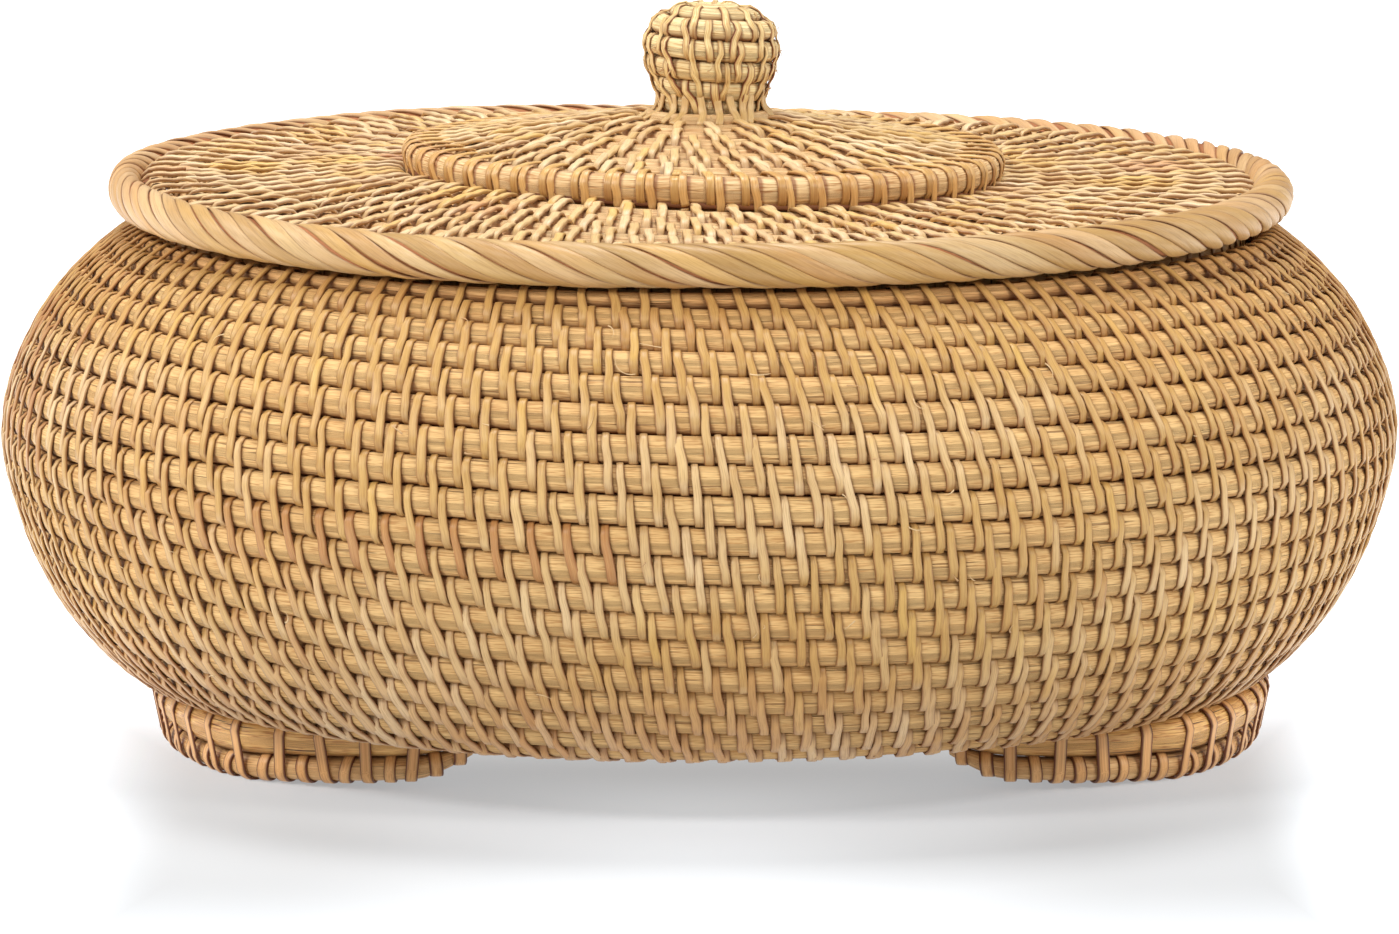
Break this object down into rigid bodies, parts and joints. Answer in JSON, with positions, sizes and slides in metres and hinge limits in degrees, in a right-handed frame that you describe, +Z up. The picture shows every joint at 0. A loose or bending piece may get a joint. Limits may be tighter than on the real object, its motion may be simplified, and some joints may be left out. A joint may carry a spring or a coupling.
{
  "type": "woven lidded box",
  "caption": "Round bulging box of coiled and bound rattan on two curved foot runners, with a lift-off lid that has a rope-bound border, a raised centre and a coiled knob.",
  "frame": {"origin": "on the box's centre line, on the surface that its foot runners stand on", "axes": "+Z up through the lid's knob, -Y towards the front gap between the foot runners, +X to the right seen from the front"},
  "size_m": [0.2986, 0.2986, 0.1578],
  "materials": {
    "wall_rattan": "satin",
    "base_rattan": "satin",
    "foot_rattan": "satin",
    "lid_rattan": "satin",
    "border_strip": "satin",
    "bare_rod": "matte",
    "knob_rattan": "satin"
  },
  "bodies": {
    "box": {"base_centre_coil": "base_rattan", "base_middle_coil": "base_rattan", "base_outer_coil": "base_rattan", "wall_coil_01": "wall_rattan", "wall_coil_02": "wall_rattan", "wall_coil_03": "wall_rattan", "wall_coil_04": "wall_rattan", "wall_coil_05": "wall_rattan", "wall_coil_06": "wall_rattan", "wall_coil_07": "wall_rattan", "wall_coil_08": "wall_rattan", "wall_coil_09": "wall_rattan", "wall_coil_10": "wall_rattan", "wall_coil_11": "wall_rattan", "wall_coil_12": "wall_rattan", "wall_coil_13": "wall_rattan", "wall_coil_14": "wall_rattan", "wall_coil_15": "wall_rattan", "wall_coil_16": "wall_rattan", "wall_coil_17": "wall_rattan", "wall_coil_18": "wall_rattan", "mouth_rim_coil": "wall_rattan", "foot_left_lower_rod": "foot_rattan", "foot_left_upper_rod": "foot_rattan", "foot_right_lower_rod": "foot_rattan", "foot_right_upper_rod": "foot_rattan"},
    "lid": {"lid_border_core": "bare_rod", "lid_border_wrap": "border_strip", "lid_field_outer_coil": "lid_rattan", "lid_field_middle_coil": "lid_rattan", "lid_field_inner_coil": "lid_rattan", "lid_step_rod": "bare_rod", "lid_top_outer_coil": "lid_rattan", "lid_top_centre_coil": "lid_rattan", "lid_collar_upper_coil": "lid_rattan", "lid_collar_lower_coil": "lid_rattan", "knob_peg": "bare_rod", "knob_coil_1": "knob_rattan", "knob_coil_2": "knob_rattan", "knob_coil_3": "knob_rattan", "knob_coil_4": "knob_rattan", "knob_coil_5": "knob_rattan", "knob_cap": "knob_rattan"}
  },
  "joints": [
    {"name": "lid_lift", "type": "slide", "parent": "box", "child": "lid", "axis": [0, 0, 1], "range_m": [0, 0.12]}
  ]
}
